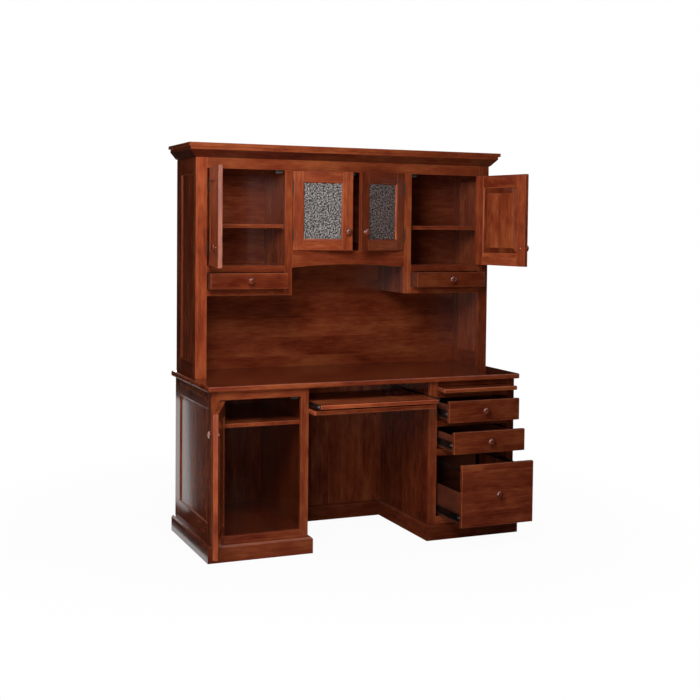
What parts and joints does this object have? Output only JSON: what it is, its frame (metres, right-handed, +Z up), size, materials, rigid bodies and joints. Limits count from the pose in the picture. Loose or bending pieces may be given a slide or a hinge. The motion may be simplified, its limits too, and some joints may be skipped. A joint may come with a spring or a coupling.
{
  "type": "credenza with hutch",
  "caption": "Kneehole credenza desk with a tall hutch: framed doors, glazed doors, inset drawers, file drawer, keyboard tray with drop front, writing board and crown moulding.",
  "frame": {"origin": "on the floor, in the middle of the width, at the back plane that faces the wall", "axes": "+X to the right seen from the front, +Y back to the wall, +Z up; the front faces -Y"},
  "size_m": [1.6813, 0.9736, 1.861],
  "materials": {
    "cherry": "stained cherry under semi-gloss lacquer",
    "drawer_wood": "stained hardwood under satin lacquer",
    "dark_bronze": "dark antique bronze, satin",
    "zinc_steel": "zinc plated",
    "textured_glass": "fine pebbled obscure glass",
    "grey_plastic": "moulded"
  },
  "bodies": {
    "case": {"adjustable_shelves": "cherry", "arched_valance": "cherry", "base_backs": "cherry", "base_face_frame": "cherry", "base_side_frames": "cherry", "cabinet_floors": "cherry", "case_hinge_leaves": "dark_bronze", "case_slide_rails": "zinc_steel", "crown_moulding": "cherry", "desk_top": "cherry", "door_catches": "grey_plastic", "hutch_back": "cherry", "hutch_dividers": "cherry", "hutch_face_frame": "cherry", "hutch_side_frames": "cherry", "hutch_top": "cherry", "pedestal_inner_sides": "cherry", "plinth": "cherry", "shelf_supports": "zinc_steel", "side_panels": "cherry", "wood_runners": "drawer_wood"},
    "base_door": {"base_door_frame": "cherry", "base_door_knob_and_hinges": "dark_bronze", "base_door_panel": "cherry"},
    "left_hutch_door": {"left_hutch_door_frame": "cherry", "left_hutch_door_knob_and_hinges": "dark_bronze", "left_hutch_door_panel": "cherry"},
    "right_hutch_door": {"right_hutch_door_frame": "cherry", "right_hutch_door_knob_and_hinges": "dark_bronze", "right_hutch_door_panel": "cherry"},
    "left_glass_door": {"left_glass_door_frame": "cherry", "left_glass_door_glass": "textured_glass", "left_glass_door_knob_and_hinges": "dark_bronze"},
    "right_glass_door": {"right_glass_door_frame": "cherry", "right_glass_door_glass": "textured_glass", "right_glass_door_knob_and_hinges": "dark_bronze"},
    "left_hutch_drawer": {"left_hutch_drawer_box": "drawer_wood", "left_hutch_drawer_front": "cherry", "left_hutch_drawer_knob": "cherry"},
    "right_hutch_drawer": {"right_hutch_drawer_box": "drawer_wood", "right_hutch_drawer_front": "cherry", "right_hutch_drawer_knob": "cherry"},
    "upper_drawer": {"upper_drawer_box": "drawer_wood", "upper_drawer_front": "cherry", "upper_drawer_knob": "cherry", "upper_drawer_slides": "zinc_steel"},
    "middle_drawer": {"middle_drawer_box": "drawer_wood", "middle_drawer_front": "cherry", "middle_drawer_knob": "cherry", "middle_drawer_slides": "zinc_steel"},
    "file_drawer": {"file_drawer_box": "drawer_wood", "file_drawer_front": "cherry", "file_drawer_hanging_rails": "zinc_steel", "file_drawer_knob": "cherry", "file_drawer_slides": "zinc_steel"},
    "writing_board": {"writing_board": "cherry"},
    "keyboard_tray": {"keyboard_tray": "cherry", "keyboard_tray_slides": "zinc_steel"},
    "drop_front": {"drop_front": "cherry", "drop_front_knob_and_pins": "dark_bronze"}
  },
  "joints": [
    {"name": "base_door_hinge", "type": "hinge", "parent": "case", "child": "base_door", "pos_m": [-0.726, -0.6135, 0.4135], "axis": [0, 0, -1], "range_deg": [-111.5, 53.5]},
    {"name": "left_hutch_door_hinge", "type": "hinge", "parent": "case", "child": "left_hutch_door", "pos_m": [-0.708, -0.3395, 1.5235], "axis": [0, 0, -1], "range_deg": [-100, 65]},
    {"name": "right_hutch_door_hinge", "type": "hinge", "parent": "case", "child": "right_hutch_door", "pos_m": [0.708, -0.3395, 1.5235], "axis": [0, 0, 1], "range_deg": [-99.5, 65.5]},
    {"name": "left_glass_door_hinge", "type": "hinge", "parent": "case", "child": "left_glass_door", "pos_m": [-0.292, -0.3395, 1.5585], "axis": [0, 0, -1], "range_deg": [-10.5, 114.5]},
    {"name": "right_glass_door_hinge", "type": "hinge", "parent": "case", "child": "right_glass_door", "pos_m": [0.292, -0.3395, 1.5585], "axis": [0, 0, 1], "range_deg": [-20.5, 104.5]},
    {"name": "left_hutch_drawer_slide", "type": "slide", "parent": "case", "child": "left_hutch_drawer", "axis": [0, -1, 0], "range_m": [-0.058, 0.122]},
    {"name": "right_hutch_drawer_slide", "type": "slide", "parent": "case", "child": "right_hutch_drawer", "axis": [0, -1, 0], "range_m": [-0.074, 0.106]},
    {"name": "upper_drawer_slide", "type": "slide", "parent": "case", "child": "upper_drawer", "axis": [0, -1, 0], "range_m": [-0.118, 0.232]},
    {"name": "middle_drawer_slide", "type": "slide", "parent": "case", "child": "middle_drawer", "axis": [0, -1, 0], "range_m": [-0.171, 0.179]},
    {"name": "file_drawer_slide", "type": "slide", "parent": "case", "child": "file_drawer", "axis": [0, -1, 0], "range_m": [-0.252, 0.148]},
    {"name": "writing_board_slide", "type": "slide", "parent": "case", "child": "writing_board", "axis": [0, -1, 0], "range_m": [-0.0635, 0.2365]},
    {"name": "keyboard_tray_slide", "type": "slide", "parent": "case", "child": "keyboard_tray", "axis": [0, -1, 0], "range_m": [-0.166, 0.084]},
    {"name": "drop_front_hinge", "type": "hinge", "parent": "case", "child": "drop_front", "pos_m": [0, -0.5725, 0.6475], "axis": [-1, 0, 0], "range_deg": [0, 6]}
  ]
}
